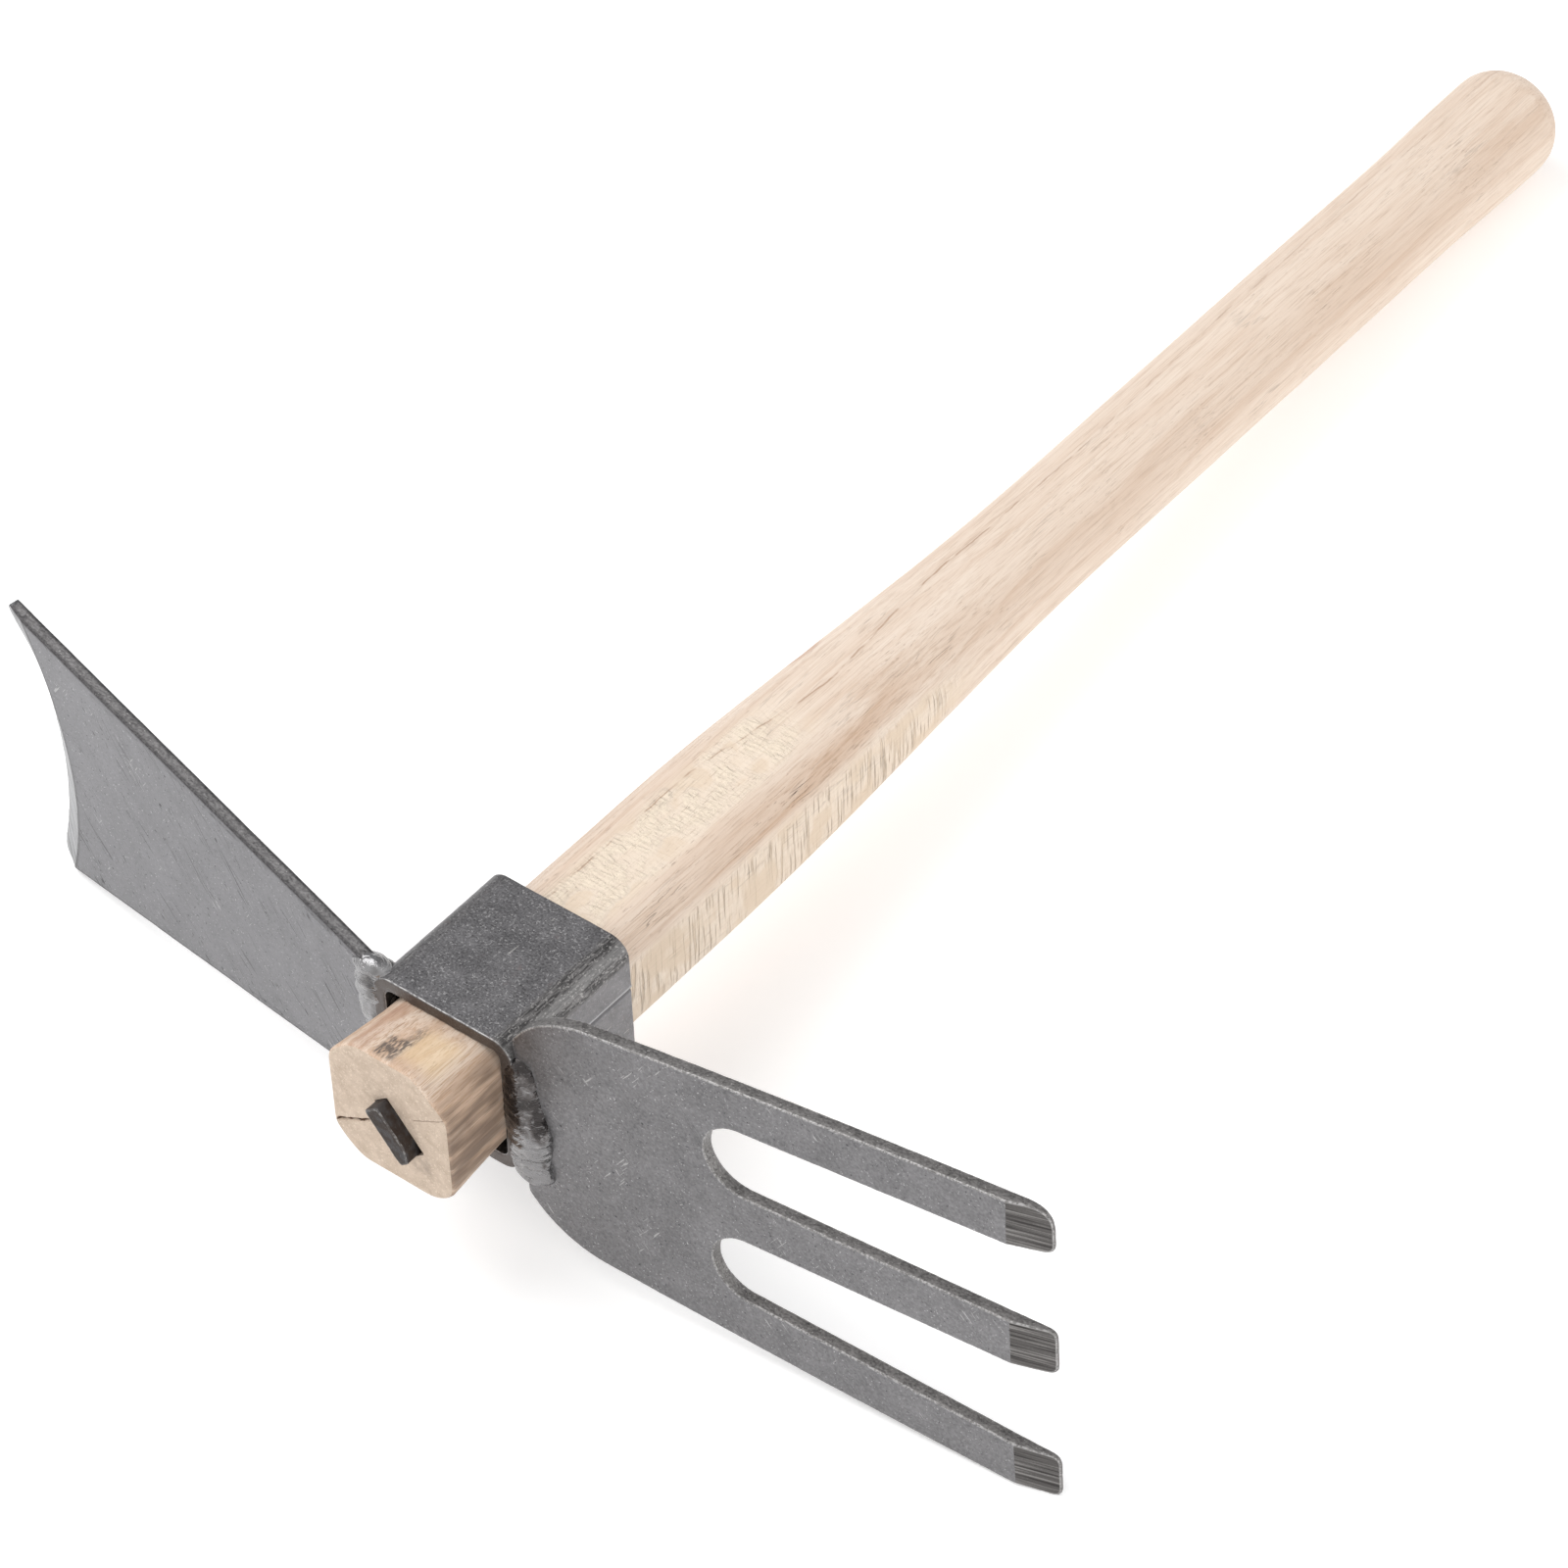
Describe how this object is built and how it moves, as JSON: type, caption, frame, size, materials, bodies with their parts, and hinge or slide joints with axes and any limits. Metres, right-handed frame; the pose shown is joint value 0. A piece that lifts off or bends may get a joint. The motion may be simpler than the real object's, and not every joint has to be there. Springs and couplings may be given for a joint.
{
  "type": "double-headed hand hoe",
  "caption": "Short-handled garden hoe: a hollow-edged hoe blade and a flat-tined fork welded to opposite sides of a square socket on a turned wooden handle.",
  "frame": {"origin": "middle of the round grip, on the handle's axis", "axes": "+Y along the handle towards the butt, +X towards the fork (the hoe blade is at -X), +Z out of the socket's top face"},
  "size_m": [0.3124, 0.4623, 0.0913],
  "materials": {
    "handle_wood": "pale sanded hardwood, unvarnished, sawn flats at the socket end",
    "socket_steel": "dark mill-scaled square tube",
    "plate_steel": "mid-grey rolled steel with fine scratches, ground at the cutting edges",
    "weld_steel": "lumpy weld bead, bright in places",
    "wedge_steel": "black scaled steel"
  },
  "bodies": {
    "root": {"handle": "handle_wood", "wedge": "wedge_steel", "socket": "socket_steel", "hoe_blade": "plate_steel", "fork": "plate_steel", "hoe_weld_front": "weld_steel", "hoe_weld_back": "weld_steel", "fork_weld_front": "weld_steel", "fork_weld_back": "weld_steel"}
  },
  "joints": []
}
